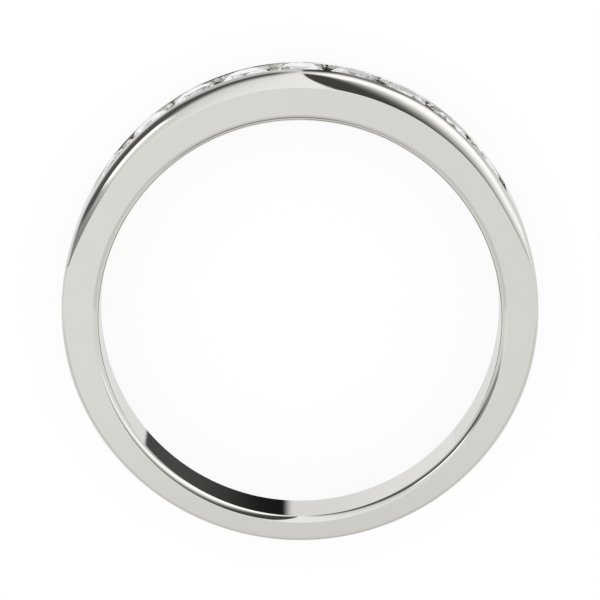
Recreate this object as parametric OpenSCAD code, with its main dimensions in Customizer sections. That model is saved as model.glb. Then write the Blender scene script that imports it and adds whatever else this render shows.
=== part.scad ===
// Channel-set wedding band: a polished white gold band with nine round brilliants.
// The band lies on its side. Its axis is Z, the stones are at +Y, and the origin is the
// centre of the finger hole, half way along its width.

/* [Band] */
// Inside diameter of the finger hole
finger_d = 17.3; // [16.5:0.1:18.5]
// Width of the band along the finger
band_w = 3.3; // [3.2:0.05:3.8]
// Thickness of the band behind the middle stone, from the finger hole to the channel's lips
top_wall = 2.15; // [2.1:0.05:2.4]
// Thickness of the band at its sides
side_wall = 1.58; // [1.4:0.02:1.7]
// Thickness of the band opposite the stones
bottom_wall = 1.08; // [0.94:0.02:1.16]
// Rounding of the finger hole's two edges
comfort_r = 0.25; // [0.1:0.05:0.35]
// Rounding of the two outer edges
edge_r = 0.15; // [0.05:0.05:0.25]

/* [Shoulder] */
// Height of the rounded shoulder under the middle stone, from its crease to the lip
shoulder_h = 0.71; // [0.6:0.01:0.8]
// Slope of the shoulder where it starts at its crease, in degrees from the side face
crease_angle = 18; // [10:1:25]

/* [Stones] */
// Number of stones
stone_count = 9; // [5:2:9]
// Diameter of a stone
stone_d = 2.25; // [2.2:0.01:2.27]
// Angle from one stone to the next, about the centre of the channel's arc
stone_pitch = 13.83; // [13.8:0.01:14.4]
// Width of a stone's table as a share of its diameter
table_share = 0.57; // [0.5:0.01:0.62]
// Height of a stone's table above the channel's lips
table_proud = 0.1; // [0:0.01:0.15]

/* [Channel] */
// Width of the channel between its lips
channel_w = 2.1; // [1.9:0.05:2.15]
// Room round each stone's girdle in its groove
girdle_gap = 0.02; // [0.01:0.01:0.04]
// Room under each stone's point
point_gap = 0.08; // [0.05:0.01:0.2]

/* [Hidden] */
$fn = 180;

// Worked-out lengths are rounded, so that arcs that should meet do so exactly
function to_micron(x) = round(x * 1000) / 1000;
function to_5_microns(x) = round(x * 200) / 200;

hole_r = finger_d / 2;
half_w = band_w / 2;
overrun = 1;

// The outer outline is three circles, each with its centre a little above the hole's.
// The crown circle carries the stones, the flank circle the sides, the sole circle the bottom.
crown_rise = 0.89;
flank_rise = 0.36;
sole_rise = 0.68;
crown_r = hole_r + top_wall - crown_rise;
flank_r = to_micron(norm([hole_r + side_wall, flank_rise]));
sole_r = hole_r + bottom_wall + sole_rise;

// The crease under the shoulder is an arc round the stones, and at both its ends a flatter
// arc carries it out to the edge of the band. Each flat arc starts along the first one, a
// hair deeper and just before the first one's end, so that no wall is left between them.
crease_rise = 0.26;
crease_r = hole_r + top_wall - shoulder_h - crease_rise;
crease_half = 58;
runout_r = 19;
runout_sweep = 18;
runout_lead = 0.6;
runout_step = 0.004;

// The shoulder's section is a wide arc from the crease and a tight one over the channel's wall,
// which meet where their shared slope is 3 in 4. The tight arc would end a little above the
// lip, which leaves the lip a narrow flat.
lip_z = channel_w / 2;
lip_over = 0.02;
section_h = shoulder_h + lip_over;
wall_t = half_w - lip_z + lip_over;
join_way = [0.6, 0.8];
crease_way = [sin(crease_angle), cos(crease_angle)];
wide_dr = join_way[0] - crease_way[0];
wide_dz = crease_way[1] - join_way[1];
tight_dr = 1 - join_way[0];
tight_dz = join_way[1];
arc_det = wide_dr * tight_dz - tight_dr * wide_dz;
wide_r = to_5_microns((section_h * tight_dz - wall_t * tight_dr) / arc_det);
tight_r = to_5_microns((wall_t * wide_dr - section_h * wide_dz) / arc_det);

// Proportions of a round brilliant
crown_h = 0.15 * stone_d;
girdle_h = 0.03 * stone_d;
pavilion_h = 0.43 * stone_d;
star_share = 0.5;
lower_share = 0.8;
mains = 8;
main_step = 360 / mains;
girdle_n = 2 * mains;

table_r = crown_r + table_proud;
girdle_top_r = table_r - crown_h;
girdle_low_r = girdle_top_r - girdle_h;
point_r = girdle_low_r - pavilion_h;
floor_r = point_r - point_gap;

// The channel's section: a floor under the points, a sloping seat under the stones, a groove
// for their girdles, and the lips that hold them
seat_share = 0.84;
floor_share = 0.6;
seat_drop = 0.3;
groove_drop = 0.05;
lip_drop = 0.1;
groove_z = stone_d / 2 + girdle_gap;
seat_z = seat_share * stone_d / 2;
floor_z = floor_share * stone_d / 2;
end_gap = 0.09;
channel_half = (stone_count - 1) / 2 * stone_pitch + asin((stone_d / 2 + end_gap) / girdle_top_r);

module both_sides() {
    children();
    mirror([0, 1])
        children();
}

// The section of a flat disc of radius r whose outer edges are rounded
module rounded_disc_section(r) {
    inner_r = r - edge_r;
    inner_z = half_w - edge_r;
    translate([0, -half_w])
        square([inner_r, band_w]);
    translate([0, -inner_z])
        square([r, 2 * inner_z]);
    both_sides()
        translate([inner_r, inner_z])
            circle(edge_r);
}

module rounded_disc(r, rise) {
    translate([0, rise, 0])
        rotate_extrude()
            rounded_disc_section(r);
}

// The ring's outline as a solid disc, before anything is cut from it
module blank() {
    rounded_disc(crown_r, crown_rise);
    intersection() {
        rounded_disc(flank_r, flank_rise);
        rounded_disc(sole_r, sole_rise);
    }
}

// A pie slice of a circle of radius r round the point c, between two directions
module slice(c, r, from, to) {
    reach = 1.5 * r;
    translate(c)
        intersection() {
            circle(r);
            polygon([[0, 0], reach * from, reach * to]);
        }
}

// The section of what is cut away above the shoulder, whose crease is at radius r. The wide
// arc runs on past the crease, out of the band.
module shoulder_cut_section(r) {
    lead = section_h / 2;
    wide_c = [r - to_micron(wide_r * crease_way[0]), half_w - to_micron(wide_r * crease_way[1])];
    tight_c = wide_c + (wide_r - tight_r) * join_way;
    difference() {
        translate([r - lead, tight_c[1]])
            square([lead + section_h + overrun, wall_t + overrun]);
        slice(wide_c, wide_r, [-join_way[0], join_way[1]], join_way);
        slice(tight_c, tight_r, join_way, [1, 0]);
    }
}

module shoulder_cut() {
    translate([0, crease_rise, 0])
        rotate([0, 0, 90 - crease_half])
            rotate_extrude(angle = 2 * crease_half)
                both_sides()
                    shoulder_cut_section(crease_r);
}

// The flatter arc at one end of the shoulder
module runout_cut() {
    shift = runout_r - crease_r + runout_step;
    translate([-shift * sin(crease_half), crease_rise - shift * cos(crease_half), 0])
        rotate([0, 0, 90 - crease_half - runout_sweep])
            rotate_extrude(angle = runout_sweep + runout_lead)
                both_sides()
                    shoulder_cut_section(runout_r);
}

module finger_hole() {
    cylinder(h = band_w + 2 * overrun, r = hole_r, center = true);
    rotate_extrude()
        both_sides()
            difference() {
                translate([hole_r - overrun, half_w - comfort_r])
                    square([overrun + comfort_r, comfort_r + overrun]);
                translate([hole_r + comfort_r, half_w - comfort_r])
                    circle(comfort_r);
            }
}

// The channel between the lips, the groove for the girdles and the seat under them
module channel() {
    top_r = crown_r + overrun;
    half = [
        [floor_r, floor_z],
        [girdle_low_r - seat_drop, seat_z],
        [girdle_low_r - groove_drop, groove_z],
        [girdle_top_r + girdle_gap, groove_z],
        [girdle_top_r + lip_drop, lip_z],
        [top_r, lip_z]
    ];
    mirrored = [for (i = [len(half) - 1:-1:0]) [half[i][0], -half[i][1]]];
    translate([0, crown_rise, 0])
        rotate([0, 0, 90 - channel_half])
            rotate_extrude(angle = 2 * channel_half)
                polygon(concat(half, mirrored));
}

// The shoulders are cut one step at a time: the long arc, then its two ends
module shaped_blank() {
    difference() {
        difference() {
            blank();
            shoulder_cut();
        }
        runout_cut();
        mirror([1, 0, 0])
            runout_cut();
    }
}

module band() {
    color([0.83, 0.82, 0.79])
        difference() {
            shaped_blank();
            finger_hole();
            channel();
        }
}

function ring_point(r, a, z) = [r * cos(a), r * sin(a), z];

// Corners of a round brilliant, its axis along Z and the top of its girdle at z = 0:
// table, crown corners, girdle's upper edge, girdle's lower edge, pavilion corners, point
function brilliant_points(d) =
    let (
        girdle_r = d / 2,
        half_table = table_share * girdle_r,
        flat = cos(main_step / 2),
        star_r = half_table * flat + star_share * (girdle_r - half_table * flat),
        star_z = crown_h * (girdle_r - star_r * flat) / (girdle_r - half_table),
        lower_r = (1 - lower_share) * girdle_r,
        lower_z = -girdle_h - pavilion_h * (1 - lower_r * flat / girdle_r)
    )
    concat(
        [for (k = [0:mains - 1]) ring_point(half_table, k * main_step, crown_h)],
        [for (k = [0:mains - 1]) ring_point(star_r, (k + 0.5) * main_step, star_z)],
        [for (k = [0:girdle_n - 1]) ring_point(girdle_r, k * main_step / 2, 0)],
        [for (k = [0:girdle_n - 1]) ring_point(girdle_r, k * main_step / 2, -girdle_h)],
        [for (k = [0:mains - 1]) ring_point(lower_r, (k + 0.5) * main_step, lower_z)],
        [[0, 0, -girdle_h - pavilion_h]]
    );

// Facets of the brilliant, each listed clockwise as seen from outside
function brilliant_faces() =
    let (
        star = mains,
        upper = 2 * mains,
        lower = upper + girdle_n,
        pav = lower + girdle_n,
        point = pav + mains
    )
    concat(
        [[for (k = [mains - 1:-1:0]) k]],
        [for (k = [0:mains - 1]) [k, (k + 1) % mains, star + k]],
        [for (k = [0:mains - 1]) [k, star + k, upper + 2 * k, star + (k + mains - 1) % mains]],
        [for (k = [0:mains - 1]) [star + k, upper + 2 * k + 1, upper + 2 * k]],
        [for (k = [0:mains - 1]) [star + k, upper + (2 * k + 2) % girdle_n, upper + 2 * k + 1]],
        [for (k = [0:girdle_n - 1])
            [upper + k, upper + (k + 1) % girdle_n, lower + (k + 1) % girdle_n, lower + k]],
        [for (k = [0:mains - 1]) [lower + 2 * k, lower + 2 * k + 1, pav + k]],
        [for (k = [0:mains - 1]) [lower + 2 * k + 1, lower + (2 * k + 2) % girdle_n, pav + k]],
        [for (k = [0:mains - 1]) [lower + 2 * k, pav + k, point, pav + (k + mains - 1) % mains]]
    );

module stone(i) {
    turn = (i - (stone_count + 1) / 2) * stone_pitch;
    color([0.93, 0.95, 0.97])
        translate([0, crown_rise, 0])
            rotate([0, 0, -turn])
                translate([0, girdle_top_r, 0])
                    rotate([-90, 0, 0])
                        polyhedron(brilliant_points(stone_d), brilliant_faces(), convexity = 2);
}

band();
for (i = [1:stone_count])
    stone(i);
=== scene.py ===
"""A channel-set wedding band in white gold with nine round brilliants, lying on its side."""

import math

import bmesh
import bpy
from mathutils import Matrix, Vector


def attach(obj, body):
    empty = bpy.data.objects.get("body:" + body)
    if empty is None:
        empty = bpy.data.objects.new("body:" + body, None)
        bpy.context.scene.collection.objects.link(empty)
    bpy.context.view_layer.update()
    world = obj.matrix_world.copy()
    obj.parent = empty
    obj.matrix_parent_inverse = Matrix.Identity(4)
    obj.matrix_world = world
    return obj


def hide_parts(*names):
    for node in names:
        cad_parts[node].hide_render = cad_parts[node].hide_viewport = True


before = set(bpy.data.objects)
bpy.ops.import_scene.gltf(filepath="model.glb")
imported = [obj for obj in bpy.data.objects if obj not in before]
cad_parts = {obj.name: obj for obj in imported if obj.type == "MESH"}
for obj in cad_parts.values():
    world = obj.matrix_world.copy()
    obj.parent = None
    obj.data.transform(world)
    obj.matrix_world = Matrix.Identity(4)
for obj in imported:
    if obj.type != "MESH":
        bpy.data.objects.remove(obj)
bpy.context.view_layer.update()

MM = 0.001

# The band, in millimetres. The stones are at +Y, the finger goes through along Z, and the
# origin is the centre of the finger hole.
HOLE_R = 8.65
HALF_W = 1.65
TOP_WALL = 2.15
SIDE_WALL = 1.58
BOTTOM_WALL = 1.08

# The finger hole's edge is a shallow rounded bevel, from its slope at the side face to its
# slope at the hole's wall
COMFORT_W = 0.25
COMFORT_START = math.radians(20)
COMFORT_END = math.radians(51)
COMFORT_R = COMFORT_W / (math.sin(COMFORT_END) - math.sin(COMFORT_START))
COMFORT_DROP = COMFORT_R * (math.cos(COMFORT_START) - math.cos(COMFORT_END))

# The outline is three circles, each centred a little above the hole: the crown carries the
# stones, the flank the sides, and the sole the bottom. They blend where they meet. The flank's
# radius is a whole number of microns.
CROWN_RISE = 0.89
FLANK_RISE = 0.36
SOLE_RISE = 0.68
CROWN_R = HOLE_R + TOP_WALL - CROWN_RISE
FLANK_R = round(math.hypot(HOLE_R + SIDE_WALL, FLANK_RISE), 3)
SOLE_R = HOLE_R + BOTTOM_WALL + SOLE_RISE
OUTLINE_BLEND = 0.1

# The crease where the rounded shoulder starts is an arc under the stones, and a flatter arc
# carries each of its ends out of the band
SHOULDER_H = 0.71
CREASE_RISE = 0.26
CREASE_R = HOLE_R + TOP_WALL - SHOULDER_H - CREASE_RISE
CREASE_HALF = math.radians(58)
RUNOUT_R = 19
RUNOUT_SHIFT = RUNOUT_R - CREASE_R
RUNOUT_X = RUNOUT_SHIFT * math.sin(CREASE_HALF)
RUNOUT_Y = CREASE_RISE - RUNOUT_SHIFT * math.cos(CREASE_HALF)
RUNOUT_FROM = math.atan2(
    CREASE_R * math.sin(CREASE_HALF),
    CREASE_RISE + CREASE_R * math.cos(CREASE_HALF) - CROWN_RISE,
)
RUNOUT_TO = math.radians(95)

# Points stand close beside each crease. The nearer ones make its softness, and the farther
# ones keep the face beyond it flat.
CREASE_SOFT = 0.012
CREASE_HOLD = 0.03

# The shoulder's section is a wide arc from the crease and a tight one over to the lip, with
# the slopes at which they start, meet and end
SHOULDER_START = math.radians(18)
SHOULDER_JOIN = math.radians(45)
SHOULDER_END = math.radians(88)
WIDE_R = 1.385
TIGHT_R = 0.37
WIDE_X = -WIDE_R * math.sin(SHOULDER_START)
WIDE_Z = -WIDE_R * math.cos(SHOULDER_START)
TIGHT_X = WIDE_X + (WIDE_R - TIGHT_R) * math.sin(SHOULDER_JOIN)
TIGHT_Z = WIDE_Z + (WIDE_R - TIGHT_R) * math.cos(SHOULDER_JOIN)

# The corner at the outside is crisp where the shoulder runs low, turns over softly where the
# shoulder is higher than TURN_FROM, and is the band's own rounder edge past the shoulders,
# where the crease's points stay CORNER_LEAD inside the corner
CORNER_CRISP = 0.05
CORNER_HIGH = 0.159
CORNER_PLAIN = 0.15
TURN_FROM = 0.6
PLAIN_FROM = math.radians(64)
PLAIN_TO = math.radians(82)
CORNER_LEAD = 0.02

# The stones are round brilliants. Their table, crown, girdle and pavilion are shares of the
# diameter, a star facet reaches STAR_SHARE of the way out from the table, and the lower facets
# reach LOWER_SHARE of the way in to the point. Each stone is turned OWN_TURN further about its
# own axis than the one before it.
STONE_COUNT = 9
STONE_D = 2.25
STONE_PITCH = math.radians(13.83)
OWN_TURN = math.radians(17)
TABLE_PROUD = 0.04
TABLE_SHARE = 0.57
CROWN_SHARE = 0.15
GIRDLE_SHARE = 0.03
PAVILION_SHARE = 0.43
STAR_SHARE = 0.5
LOWER_SHARE = 0.8
MAINS = 8
GIRDLE_SIDES = 96
GIRDLE_TOP_R = CROWN_R + TABLE_PROUD - CROWN_SHARE * STONE_D
GIRDLE_LOW_R = GIRDLE_TOP_R - GIRDLE_SHARE * STONE_D
POINT_R = GIRDLE_LOW_R - PAVILION_SHARE * STONE_D

# The channel's lips stand LIP_Z from the middle, give or take LIP_EDGE: a bright cut of LIP_CUT
# slants from their top towards the stones. Under them are a groove round the girdles, a sloping
# seat and a floor under the points, and an end wall stands END_GAP past the last stones.
LIP_Z = 1.05
LIP_EDGE = 0.02
LIP_CUT = 0.04
LIP_DROP = 0.1
GIRDLE_GAP = 0.02
GROOVE_DROP = 0.05
SEAT_DROP = 0.3
SEAT_SHARE = 0.84
FLOOR_SHARE = 0.6
POINT_GAP = 0.08
END_GAP = 0.08235
CHANNEL_HALF = (STONE_COUNT - 1) / 2 * STONE_PITCH + math.asin((STONE_D / 2 + END_GAP) / GIRDLE_TOP_R)

# How finely the band is laid out
RING_STEPS = 470
CHANNEL_STEPS = 250
COMFORT_STEPS = 10
SHOULDER_STEPS = 24
CORNER_STEPS = 10

# Faces that meet at more than this angle meet in a visible edge
SHARP_FROM = math.radians(30)


def put_in_scene(name, data):
    """Adds an object that shows the data to the scene."""
    piece = bpy.data.objects.new(name, data)
    bpy.context.scene.collection.objects.link(piece)
    return piece


# How nodes are written


class Wire:
    """A socket whose number or direction is worked with in expressions."""

    def __init__(self, paint, socket):
        self.paint = paint
        self.socket = socket

    def math(self, operation, *others):
        sockets = dict(enumerate((self,) + others))
        return self.paint.node("ShaderNodeMath", {"operation": operation}, sockets)

    def __add__(self, other):
        return self.math("ADD", other)

    def __radd__(self, other):
        return self.math("ADD", other)

    def __sub__(self, other):
        return self.math("SUBTRACT", other)

    def __rsub__(self, other):
        return self.paint.node("ShaderNodeMath", {"operation": "SUBTRACT"}, {0: other, 1: self})

    def __mul__(self, other):
        return self.math("MULTIPLY", other)

    def __rmul__(self, other):
        return self.math("MULTIPLY", other)

    def __truediv__(self, other):
        return self.math("DIVIDE", other)

    def rise(self, low, high):
        """0 at low, 1 at high, with a soft turn at both."""
        sockets = {"Value": self, "From Min": low, "From Max": high}
        return self.paint.node("ShaderNodeMapRange", {"interpolation_type": "SMOOTHSTEP"}, sockets)

    def between(self, low, high, low_soft, high_soft):
        """1 from low to high, with soft ends."""
        inside = self.rise(low - low_soft / 2, low + low_soft / 2)
        outside = self.rise(high - high_soft / 2, high + high_soft / 2)
        return inside * (1 - outside)

    def along(self, direction):
        """How far this direction points along another one."""
        sockets = {0: self, 1: direction}
        return self.paint.node("ShaderNodeVectorMath", {"operation": "DOT_PRODUCT"}, sockets, "Value")


class Paint:
    """A node tree that a finish or the studio's light is written into."""

    def __init__(self, owner):
        owner.use_nodes = True
        self.tree = owner.node_tree
        self.tree.nodes.clear()

    def node(self, kind, settings=None, sockets=None, out=0):
        """Adds a node and gives one of its outputs, or several where out names several."""
        made = self.tree.nodes.new(kind)
        for name, value in (settings or {}).items():
            setattr(made, name, value)
        for name, value in (sockets or {}).items():
            if isinstance(value, Wire):
                self.tree.links.new(value.socket, made.inputs[name])
            else:
                made.inputs[name].default_value = value
        if isinstance(out, tuple):
            return [Wire(self, made.outputs[name]) for name in out]
        return Wire(self, made.outputs[out]) if made.outputs else None


# The band's outline and crease, as distances from the crown's centre. A way is a direction
# from there: 0 is towards the middle stone, and more is towards +X.


def reach(way, centre_x, centre_y, radius):
    """Distance to a circle whose centre is given from the middle of the finger hole."""
    ux, uy = math.sin(way), math.cos(way)
    dx, dy = centre_x, centre_y - CROWN_RISE
    along = dx * ux + dy * uy
    return along + math.sqrt(radius**2 - dx**2 - dy**2 + along**2)


def soft_max(a, b, blend):
    """The larger of two lengths, with a smooth change from one to the other."""
    near = max(blend - abs(a - b), 0) / blend
    return max(a, b) + near * near * blend / 4


def soft_min(a, b, blend):
    return -soft_max(-a, -b, blend)


def outline(way):
    """Distance to the outside of the band."""
    flank = reach(way, 0, FLANK_RISE, FLANK_R)
    sole = reach(way, 0, SOLE_RISE, SOLE_R)
    return soft_max(CROWN_R, soft_min(flank, sole, OUTLINE_BLEND), OUTLINE_BLEND)


def bore(way, offset):
    """Distance to a circle that is larger than the finger hole by the offset."""
    return reach(way, 0, 0, HOLE_R + offset)


def crease(way):
    """Distance to the crease, which lies outside the band past its ends."""
    turn = abs(way)
    if turn < RUNOUT_FROM:
        return reach(turn, 0, CREASE_RISE, CREASE_R)
    if turn > RUNOUT_TO:
        return 2 * CROWN_R
    return reach(turn, -RUNOUT_X, RUNOUT_Y, RUNOUT_R)


# The band's section, as points given by their distance from the crown's centre and their z


def shoulder_at(lean):
    """Place on the shoulder where its slope is lean: out from the crease, and z from the face."""
    if lean < SHOULDER_JOIN:
        return WIDE_X + WIDE_R * math.sin(lean), WIDE_Z + WIDE_R * math.cos(lean)
    return TIGHT_X + TIGHT_R * math.sin(lean), TIGHT_Z + TIGHT_R * math.cos(lean)


def shoulder_lean(out):
    """Slope of the shoulder at a distance out from the crease."""
    lean = math.asin(min((out - WIDE_X) / WIDE_R, 1))
    if lean < SHOULDER_JOIN:
        return max(lean, SHOULDER_START)
    return math.asin(min((out - TIGHT_X) / TIGHT_R, math.sin(SHOULDER_END)))


def share(value, low, high):
    """0 at low, 1 at high, with a soft turn at both."""
    part = min(max((value - low) / (high - low), 0), 1)
    return part * part * (3 - 2 * part)


def corner_size(way, shoulder_h):
    """How far the rounded corner at the outside reaches from the corner's point."""
    plain = (CORNER_PLAIN - CORNER_CRISP) * share(abs(way), PLAIN_FROM, PLAIN_TO)
    high = (CORNER_HIGH - CORNER_CRISP) * share(shoulder_h, TURN_FROM, SHOULDER_H)
    return CORNER_CRISP + plain + high


def rounded_corner(start, corner, end):
    """Points of a rounded corner, without its start and with its end."""
    # With handles of this share of a side, the curve is close to a quarter circle
    pull = 0.55
    first = [a + pull * (b - a) for a, b in zip(start, corner)]
    second = [a + pull * (b - a) for a, b in zip(end, corner)]
    points = []
    for k in range(1, CORNER_STEPS + 1):
        t = k / CORNER_STEPS
        weights = ((1 - t) ** 3, 3 * (1 - t) ** 2 * t, 3 * (1 - t) * t * t, t**3)
        legs = zip(start, first, second, end)
        points.append(tuple(sum(w * p for w, p in zip(weights, leg)) for leg in legs))
    return points


def hole_side(way):
    """From the middle of the finger hole's wall, round its bevel, to the side face."""
    wall_r = bore(way, 0)
    wall_z = HALF_W - COMFORT_DROP
    points = [(wall_r, 0), (wall_r, wall_z / 2), (wall_r, wall_z - 2 * CREASE_HOLD)]
    points.append((wall_r, wall_z - CREASE_SOFT))
    for k in range(COMFORT_STEPS + 1):
        lean = COMFORT_END + (COMFORT_START - COMFORT_END) * k / COMFORT_STEPS
        offset = COMFORT_R * (math.sin(COMFORT_END) - math.sin(lean))
        drop = COMFORT_R * (math.cos(COMFORT_START) - math.cos(lean))
        points.append((bore(way, offset), HALF_W - drop))
    points.append((bore(way, COMFORT_W + CREASE_SOFT), HALF_W))
    points.append((bore(way, COMFORT_W + CREASE_HOLD), HALF_W))
    return points


def face_and_shoulder(way, crease_r, corner_from):
    """Along the side face and over the shoulder to where the corner starts, and the slope there."""
    kink = min(crease_r, corner_from - CORNER_LEAD)
    points = [((bore(way, COMFORT_W) + kink) / 2, HALF_W)]
    points.append((kink - CREASE_HOLD, HALF_W))
    points.append((kink - CREASE_SOFT, HALF_W))

    # Where there is no shoulder, as many points run flat up to the corner
    last_out = corner_from - crease_r
    if last_out <= 0:
        for k in range(SHOULDER_STEPS + 2):
            part = (k + 1) / (SHOULDER_STEPS + 2)
            points.append((kink + (corner_from - kink) * part, HALF_W))
        return points, 0

    near = shoulder_lean(min(CREASE_SOFT, last_out / 4))
    first = shoulder_lean(min(CREASE_HOLD, last_out / 2))
    last = shoulder_lean(last_out)
    leans = [first + (last - first) * k / SHOULDER_STEPS for k in range(SHOULDER_STEPS + 1)]
    for out, z in map(shoulder_at, [near] + leans):
        points.append((crease_r + out, HALF_W + z))
    return points, last


def skin_section(way):
    """Half of the band's section from the middle of the finger hole's wall to the top of the lip."""
    out_r = outline(way)
    crease_r = crease(way)
    size = corner_size(way, out_r - crease_r)
    side, slope = face_and_shoulder(way, crease_r, out_r - size)

    # The corner's point lies straight on from the shoulder's last slope
    start = side[-1]
    corner = (out_r, start[1] - (out_r - start[0]) * math.tan(slope))
    lip_z = LIP_Z + LIP_EDGE
    end = (out_r, max(corner[1] - size, lip_z + 2 * CREASE_SOFT))
    lip = [(out_r, max(end[1] - CREASE_HOLD, lip_z + CREASE_SOFT)), (out_r, lip_z)]
    return hole_side(way) + side + rounded_corner(start, corner, end) + lip


def plain_section(out_r):
    """Outer wall from one side to the other, where there is no channel."""
    heights = [LIP_Z, LIP_Z / 2, 0, -LIP_Z / 2, -LIP_Z]
    return [(out_r, z) for z in heights]


def channel_section():
    """The channel from one lip to the other."""
    wall_z = LIP_Z + LIP_EDGE - LIP_CUT
    groove_z = STONE_D / 2 + GIRDLE_GAP
    half = [
        (CROWN_R - LIP_CUT, wall_z),
        (GIRDLE_TOP_R + LIP_DROP, wall_z),
        (GIRDLE_TOP_R + GIRDLE_GAP, groove_z),
        (GIRDLE_LOW_R - GROOVE_DROP, groove_z),
        (GIRDLE_LOW_R - SEAT_DROP, SEAT_SHARE * STONE_D / 2),
        (POINT_R - POINT_GAP, FLOOR_SHARE * STONE_D / 2),
    ]
    return half + [(r, -z) for r, z in reversed(half)]


# The band's mesh


def add_points(mesh, way, section):
    """Points of a section, or of a part of one, in their place."""
    across, up = math.sin(way), math.cos(way)
    places = [Vector((r * across, CROWN_RISE + r * up, z)) * MM for r, z in section]
    return [mesh.verts.new(place) for place in places]


def add_section(mesh, way, inner):
    """Points of a whole section: its skin on both sides, and what joins the skins outside."""
    skin = skin_section(way)
    upper = add_points(mesh, way, skin)
    lower = [upper[0]] + add_points(mesh, way, [(r, -z) for r, z in skin[1:]])
    return upper, lower, add_points(mesh, way, inner)


def cover(mesh, sections):
    """Faces from each section to the next."""
    rows = []
    for upper, lower, middle in sections:
        rows.append(upper + middle + list(reversed(lower))[:-1] + [upper[0]])
    for a, b in zip(rows, rows[1:]):
        for k in range(len(a) - 1):
            mesh.faces.new((a[k], a[k + 1], b[k + 1], b[k]))


def build_band():
    """The whole metal: the plain hoop, then the channel, which shares the skins at both its ends."""
    mesh = bmesh.new()
    span = 2 * math.pi - 2 * CHANNEL_HALF
    plain = []
    for i in range(RING_STEPS + 1):
        way = CHANNEL_HALF + span * i / RING_STEPS
        if way > math.pi:
            way -= 2 * math.pi
        plain.append(add_section(mesh, way, plain_section(outline(way))))
    cover(mesh, plain)

    profile = channel_section()
    shared = {0: plain[-1], CHANNEL_STEPS: plain[0]}
    channel = []
    for i in range(CHANNEL_STEPS + 1):
        way = -CHANNEL_HALF + 2 * CHANNEL_HALF * i / CHANNEL_STEPS
        if i in shared:
            upper, lower = shared[i][:2]
            channel.append((upper, lower, add_points(mesh, way, profile)))
        else:
            channel.append(add_section(mesh, way, profile))
    cover(mesh, channel)

    # A flat wall closes each end of the channel
    for i, (upper, lower, outer_wall) in shared.items():
        rim = channel[i][2]
        mesh.faces.new([upper[-1]] + rim + [lower[-1]] + list(reversed(outer_wall)))

    bmesh.ops.recalc_face_normals(mesh, faces=mesh.faces)
    data = bpy.data.meshes.new("channel_band")
    mesh.to_mesh(data)
    mesh.free()
    data.shade_smooth()
    data.set_sharp_from_angle(angle=SHARP_FROM)
    return put_in_scene("channel_band", data)


# The stones


def ring_point(radius, turn, height):
    return Vector((radius * math.cos(turn), radius * math.sin(turn), height))


def facet_planes():
    """Three points on each facet of a round brilliant, whose girdle's top is at height 0."""
    girdle_r = STONE_D / 2
    crown_h = CROWN_SHARE * STONE_D
    girdle_h = GIRDLE_SHARE * STONE_D
    pavilion_h = PAVILION_SHARE * STONE_D
    step = 2 * math.pi / MAINS
    flat = math.cos(step / 2)
    table_r = TABLE_SHARE * girdle_r
    star_r = table_r * flat + STAR_SHARE * (girdle_r - table_r * flat)
    star_z = crown_h * (girdle_r - star_r * flat) / (girdle_r - table_r)
    lower_r = (1 - LOWER_SHARE) * girdle_r
    lower_z = -girdle_h - pavilion_h * (1 - lower_r * flat / girdle_r)
    point = Vector((0, 0, -girdle_h - pavilion_h))
    planes = [[ring_point(table_r, k * step, crown_h) for k in range(3)]]
    for k in range(MAINS):
        turn = k * step
        side = turn + step / 2
        table_a = ring_point(table_r, turn, crown_h)
        table_b = ring_point(table_r, turn + step, crown_h)
        star_a = ring_point(star_r, side, star_z)
        star_b = ring_point(star_r, side - step, star_z)
        edge = ring_point(girdle_r, turn, 0)
        edge_side = ring_point(girdle_r, side, 0)
        edge_next = ring_point(girdle_r, turn + step, 0)
        low = ring_point(girdle_r, turn, -girdle_h)
        low_side = ring_point(girdle_r, side, -girdle_h)
        low_next = ring_point(girdle_r, turn + step, -girdle_h)
        lower_a = ring_point(lower_r, side, lower_z)
        planes.append([table_a, table_b, star_a])
        planes.append([table_a, star_a, star_b])
        planes.append([star_a, edge, edge_side])
        planes.append([star_a, edge_side, edge_next])
        planes.append([lower_a, low, low_side])
        planes.append([lower_a, low_side, low_next])
        planes.append([low, lower_a, point])
    return planes


def cut_brilliant():
    """Cuts a round brilliant out of a tall cylinder, one facet after another."""
    on_plane = 1e-6
    same_point = 1e-5
    mesh = bmesh.new()
    bmesh.ops.create_cone(
        mesh,
        cap_ends=True,
        segments=GIRDLE_SIDES,
        radius1=STONE_D / 2,
        radius2=STONE_D / 2,
        depth=2 * STONE_D,
    )
    for a, b, c in facet_planes():
        normal = (b - a).cross(c - a).normalized()
        if normal.dot(a) < 0:
            normal.negate()
        whole = list(mesh.verts) + list(mesh.edges) + list(mesh.faces)
        cut = bmesh.ops.bisect_plane(
            mesh, geom=whole, dist=on_plane, plane_co=a, plane_no=normal, clear_outer=True
        )
        rim = [part for part in cut["geom_cut"] if isinstance(part, bmesh.types.BMEdge)]
        open_rim = [edge for edge in rim if edge.is_boundary]
        if open_rim:
            bmesh.ops.edgeloop_fill(mesh, edges=open_rim)
    bmesh.ops.remove_doubles(mesh, verts=mesh.verts, dist=same_point)
    bmesh.ops.recalc_face_normals(mesh, faces=mesh.faces)
    return mesh


def set_stone(cut, number):
    """A copy of the cut stone in its place in the channel."""
    turn = (number - (STONE_COUNT + 1) / 2) * STONE_PITCH
    place = (
        Matrix.Scale(MM, 4)
        @ Matrix.Translation((0, CROWN_RISE, 0))
        @ Matrix.Rotation(-turn, 4, "Z")
        @ Matrix.Translation((0, GIRDLE_TOP_R, 0))
        @ Matrix.Rotation(-math.pi / 2, 4, "X")
        @ Matrix.Rotation(OWN_TURN * number, 4, "Z")
    )
    name = f"brilliant_{number}"
    data = bpy.data.meshes.new(name)
    cut.to_mesh(data)
    data.transform(place)
    data.shade_flat()
    return put_in_scene(name, data)


# The finishes

# Polishing lines run round the ring, this many to a metre across them
LINES_PER_M = 60000
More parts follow.
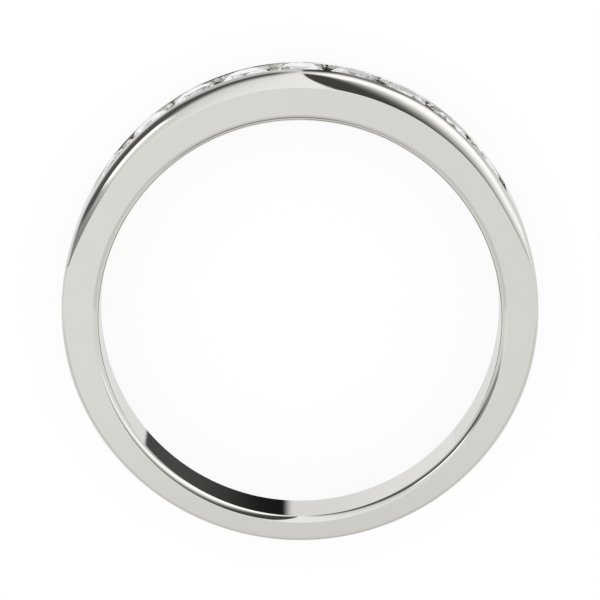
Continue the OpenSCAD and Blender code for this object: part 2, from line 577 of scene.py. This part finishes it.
# Share of a facet painted matt white as its sparkle, a painted highlight: the least and the most from
# one facet to another
PAINTED_SPARKLE_SHARE = (0.15, 0.85)
# Share of the rest painted white where a facet is seen at a low angle, a painted sheen
GRAZING_PAINTED_SPARKLE = 0.8
# Share of the floor's light that is its own, which keeps it evenly pale
FLOOR_GLOW = 0.85


def white_gold():
    """Polished white gold: a warm grey mirror with fine polishing lines and softer edges."""
    finish = bpy.data.materials.new("white_gold")
    paint = Paint(finish)
    place = paint.node("ShaderNodeTexCoord", out="Object")
    x, y, z = paint.node("ShaderNodeSeparateXYZ", {}, {"Vector": place}, ("X", "Y", "Z"))
    radius = (x * x + y * y).math("SQRT")
    round_way = paint.node(
        "ShaderNodeCombineXYZ", {}, {"X": x / radius, "Y": y / radius, "Z": z * LINES_PER_M}
    )
    lines = paint.node(
        "ShaderNodeTexNoise",
        {"noise_dimensions": "4D"},
        {"Vector": round_way, "W": radius * LINES_PER_M, "Scale": 1.0, "Detail": 3.0, "Roughness": 0.6},
    )
    clouds = paint.node(
        "ShaderNodeTexNoise", {}, {"Vector": place, "Scale": 900.0, "Detail": 4.0, "Roughness": 0.55}
    )
    edges = paint.node("ShaderNodeNewGeometry", out="Pointiness").rise(0.52, 0.6)
    roughness = 0.012 + clouds * 0.014 + lines * 0.012 + edges * 0.04
    bump = paint.node(
        "ShaderNodeBump", {}, {"Strength": 0.06, "Distance": 0.000002, "Height": lines + clouds * 0.5}
    )
    # A Mix node's two colours are its sockets 6 and 7, and its colour output is number 2
    tone = paint.node(
        "ShaderNodeMix",
        {"data_type": "RGBA"},
        {"Factor": clouds, 6: (0.80, 0.786, 0.744, 1), 7: (0.82, 0.808, 0.766, 1)},
        out=2,
    )
    shader = paint.node(
        "ShaderNodeBsdfPrincipled",
        {},
        {"Base Color": tone, "Metallic": 1.0, "Roughness": roughness, "Normal": bump},
    )
    paint.node("ShaderNodeOutputMaterial", {}, {"Surface": shader})
    return finish


def diamond():
    """Clear diamond, mixed facet by facet with a matt white that is painted sparkle."""
    finish = bpy.data.materials.new("diamond")
    paint = Paint(finish)
    colourless = (0.99, 0.993, 1.0, 1)
    place = paint.node("ShaderNodeTexCoord", out="Object")
    polish = paint.node(
        "ShaderNodeTexNoise", {}, {"Vector": place, "Scale": 4000.0, "Detail": 3.0, "Roughness": 0.6}
    )
    bump = paint.node(
        "ShaderNodeBump", {}, {"Strength": 0.05, "Distance": 0.000001, "Height": polish}
    )
    glass = paint.node(
        "ShaderNodeBsdfPrincipled",
        {},
        {
            "Base Color": colourless,
            "Roughness": polish * 0.004,
            "IOR": 2.42,
            "Transmission Weight": 1.0,
            "Normal": bump,
        },
    )
    # A matt white, lit by the plain light, is painted on the facets as their sparkle
    painted_sparkle = paint.node(
        "ShaderNodeBsdfPrincipled",
        {},
        {"Base Color": colourless, "Roughness": polish * 0.1, "IOR": 1.3, "Normal": bump},
    )
    facet, inside = paint.node("ShaderNodeNewGeometry", out=("True Normal", "Backfacing"))
    flash = paint.node("ShaderNodeTexNoise", {}, {"Vector": facet, "Scale": 9.0, "Detail": 0.0})
    # Facets picked at random by their direction, and facets seen at a low angle, get more of the
    # painted white sparkle; the insides get none
    least, most = PAINTED_SPARKLE_SHARE
    painted_share = least + flash.rise(0.38, 0.62) * (most - least)
    graze = paint.node("ShaderNodeLayerWeight", {}, {"Blend": 0.5}, "Facing").rise(0.65, 0.8)
    painted_share = (painted_share + graze * GRAZING_PAINTED_SPARKLE * (1 - painted_share)) * (1 - inside)
    shader = paint.node("ShaderNodeMixShader", {}, {"Fac": painted_share, 1: glass, 2: painted_sparkle})
    paint.node("ShaderNodeOutputMaterial", {}, {"Surface": shader})
    return finish


def pale_floor():
    """Matt pale paper on a light table."""
    finish = bpy.data.materials.new("pale_paper")
    paint = Paint(finish)
    place = paint.node("ShaderNodeTexCoord", out="Object")
    grain = paint.node("ShaderNodeTexNoise", {}, {"Vector": place, "Scale": 300.0, "Detail": 2.0})
    paper = paint.node(
        "ShaderNodeBsdfDiffuse", {}, {"Color": (0.9, 0.9, 0.9, 1), "Roughness": 0.3 + grain * 0.1}
    )
    lit = paint.node("ShaderNodeEmission", {}, {"Color": (1, 1, 1, 1), "Strength": 1.02})
    shader = paint.node("ShaderNodeMixShader", {}, {"Fac": FLOOR_GLOW, 1: paper, 2: lit})
    paint.node("ShaderNodeOutputMaterial", {}, {"Surface": shader})
    return finish


# The studio. Its cards are given by the direction in which the polish sees them: x goes from -1
# at the left to 1 at the right, y up, and z towards the camera. Turn is 0 towards the camera and
# grows to the right, and height is 0 when level, both in degrees.

# Share of the light that the metal mirrors
METAL_SHINE = 0.8
# Brightness of the light on matt things, and of the backdrop that the camera sees
PLAIN_LIGHT = 1.1
BACKDROP = 0.99


def seen_as(level):
    """Light that the metal shows at a brightness of level, out of 255."""
    screen_gamma = 2.2
    return (level / 255) ** screen_gamma / METAL_SHINE


def over(light, mask, other):
    """One light, and another one where the mask is 1."""
    return light + mask * (other - light)


def pale_table(x, y, z, height):
    """The table, lighter under the ring's back, with the ring's own shade on it."""
    away = 1 - z.rise(0.3, 0.8)
    front = z.rise(0.1, 0.5) * (1 - y.rise(-0.265, -0.198))
    under_back = (1 - z.rise(-0.7, -0.1)) * (1 - height.rise(-40, -20))
    shade = z.between(0.2, 0.42, 0.08, 0.08) * (1 - y.rise(-0.88, -0.75))
    shade_light = over(seen_as(165), x.rise(-0.3, -0.05), seen_as(125))
    table = over(seen_as(214), x.rise(-0.06, 0.06), seen_as(209))
    table = over(table, away, seen_as(206))
    table = over(table, front, seen_as(192))
    table = over(table, under_back, seen_as(238))
    return over(table, shade, shade_light)


def left_room(way, x, z, turn, height):
    """The pale room on the left, with a dark flag and a soft box with an abrupt edge."""
    across_flag = (0.566, 0.077, 0.822)
    behind = 1 - z.rise(-0.15, 0.12)
    strip = (1 - z.rise(-0.3, 0.1)) * x.between(-0.12, 0.03, 0.16, 0.02)
    flag = way.along(across_flag).between(-0.25, 0.135, 0.34, 0.23) * height.rise(2, 16)
    flag_end = z.rise(-0.16, 0.0) * (1 - x.rise(-0.14, 0.02))
    low_shade = turn.between(-64, -36, 10, 8) * (1 - height.rise(8, 16))
    box = turn.between(-52.4, -42, 3, 5) * height.between(17, 40, 5, 5)
    room = over(seen_as(199), turn.rise(-50, 2), seen_as(229))
    room = over(room, behind, seen_as(212))
    room = over(room, behind * height.rise(25, 45), seen_as(180))
    room = over(room, strip, seen_as(205))
    room = over(room, flag * flag_end, seen_as(76))
    room = over(room, low_shade, seen_as(128))
    return over(room, box, seen_as(262))


def bright_sheet(way, x, z, turn):
    """The wide bright sheet on the right, with a dark card beside the camera that fades into it."""
    across_front = (1, -0.78, -1.55)
    across_back = (1, -0.78, -0.466)
    card = (z - x.math("MINIMUM", 0.2)).rise(0.0, 0.18) * (1 - turn.rise(18, 60))
    behind = 1 - z.rise(-0.95, -0.25)
    sheet = over(seen_as(254), card, seen_as(64))
    sheet = over(sheet, behind, seen_as(130))

    # It is duller under a slanting edge that runs from the far right to behind the ring
    under_slant = way.along(across_front).math("MINIMUM", way.along(across_back)).rise(-0.25, 0.08)
    dull_light = over(seen_as(172), x.rise(0.8, 0.9), seen_as(212))
    return over(sheet, under_slant, dull_light)


def with_dark_things(sheet, x, z, height):
    """The sheet with the dark things behind the ring, which are darkest close to the middle."""
    far = 1 - (z - 0.06 + 0.06 * x.rise(0.05, 0.2)).rise(-0.25, 0.12)
    far_light = over(seen_as(48), x.rise(0.1, 0.26), seen_as(118))
    far_light = over(far_light, x.rise(0.4, 0.6), seen_as(190))
    block = (1 - z.rise(-0.95, -0.8)) * (1 - x.rise(0.3, 0.6)) * (1 - height.rise(13, 22))
    block_light = over(seen_as(30), x.rise(0.06, 0.22), seen_as(68))
    sheet = over(sheet, far * (1 - x.rise(0.55, 0.75)), far_light)
    return over(sheet, block, block_light)


def light_studio():
    """Soft cards round the ring that only its polish mirrors, and plain white light for the rest."""
    world = bpy.data.worlds.new("studio")
    bpy.context.scene.world = world
    paint = Paint(world)
    way = paint.node("ShaderNodeTexCoord", out="Generated")
    x, y, z = paint.node("ShaderNodeSeparateXYZ", {}, {"Vector": way}, ("X", "Y", "Z"))
    degree = 180 / math.pi
    turn = x.math("ARCTAN2", z) * degree
    height = y.math("ARCSINE") * degree

    # The right side starts a little right of the middle, further so towards the camera, and its
    # edge is softer in some places than in others
    edge = 0.012 + z * z * (0.014 + 0.111 * z.rise(-0.1, 0.1))
    blur = 0.006 + 0.012 * z.rise(0.6, 0.9) + 0.006 * (1 - z.rise(-0.97, -0.9))
    blur = blur + 0.1 * z.between(-0.75, -0.3, 0.2, 0.1)
    right_side = with_dark_things(bright_sheet(way, x, z, turn), x, z, height)
    room = over(left_room(way, x, z, turn, height), ((x - edge) / blur).rise(-1, 1), right_side)

    # The table's far edge is just below level, and soft to the sides
    above_edge = (height + 0.72) / (1 + 100 * x * x * x * x)
    light = over(pale_table(x, y, z, height), above_edge.rise(-0.12, 0.12), room)

    plain = paint.node("ShaderNodeLightPath", out="Is Diffuse Ray")
    seen = paint.node("ShaderNodeLightPath", out="Is Camera Ray")
    strength = light * (1 - plain) * (1 - seen) + plain * PLAIN_LIGHT + seen * BACKDROP
    shader = paint.node("ShaderNodeBackground", {}, {"Color": (1, 1, 1, 1), "Strength": strength})
    paint.node("ShaderNodeOutputWorld", {}, {"Surface": shader})
    world.cycles.sampling_method = "NONE"


def lay_floor():
    """A round sheet under the ring, which the polish doesn't mirror."""
    floor_r = 600
    mesh = bmesh.new()
    bmesh.ops.create_circle(mesh, cap_ends=True, segments=96, radius=floor_r * MM)
    bmesh.ops.translate(mesh, verts=mesh.verts, vec=(0, 0, -HALF_W * MM))
    data = bpy.data.meshes.new("floor")
    mesh.to_mesh(data)
    mesh.free()
    floor = put_in_scene("floor", data)
    data.materials.append(pale_floor())
    floor.visible_glossy = False
    floor.visible_transmission = False


def place_camera():
    """The photo's view along the finger, 10.9 degrees above it, seen from over the lying ring."""
    # The distance and the point that it looks at are in millimetres
    photo_px = 600
    focal_px = 5136
    sensor_mm = 36
    distance = 222
    lift = math.radians(10.9)
    aim_rise = 0.566
    data = bpy.data.cameras.new("camera")
    data.sensor_width = sensor_mm
    data.lens = sensor_mm * focal_px / photo_px
    data.clip_start = 0.01
    data.clip_end = 10
    camera = put_in_scene("camera", data)
    back = Vector((0, math.sin(lift), math.cos(lift)))
    up = Vector((0, math.cos(lift), -math.sin(lift)))
    spot = back * distance
    aim = up * aim_rise
    look = (spot - aim).normalized()
    side = up.cross(look).normalized()
    top = look.cross(side)
    turned = Matrix((side, top, look)).transposed().to_4x4()
    camera.matrix_world = Matrix.Translation(spot * MM) @ turned
    bpy.context.scene.camera = camera


# Putting it together

gold = white_gold()
clear = diamond()

band = build_band()
band.data.materials.append(gold)
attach(band, "root")
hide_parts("band")

cut = cut_brilliant()
for number in range(1, STONE_COUNT + 1):
    stone = set_stone(cut, number)
    stone.data.materials.append(clear)
    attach(stone, "root")
    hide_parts(f"stone_{number}")
cut.free()

lay_floor()
light_studio()
place_camera()

# Plain screen colours, and enough bounces for the light inside the stones
view = bpy.context.scene.view_settings
view.view_transform = "Standard"
view.look = "None"
paths = bpy.context.scene.cycles
paths.max_bounces = 24
paths.glossy_bounces = 12
paths.transmission_bounces = 20
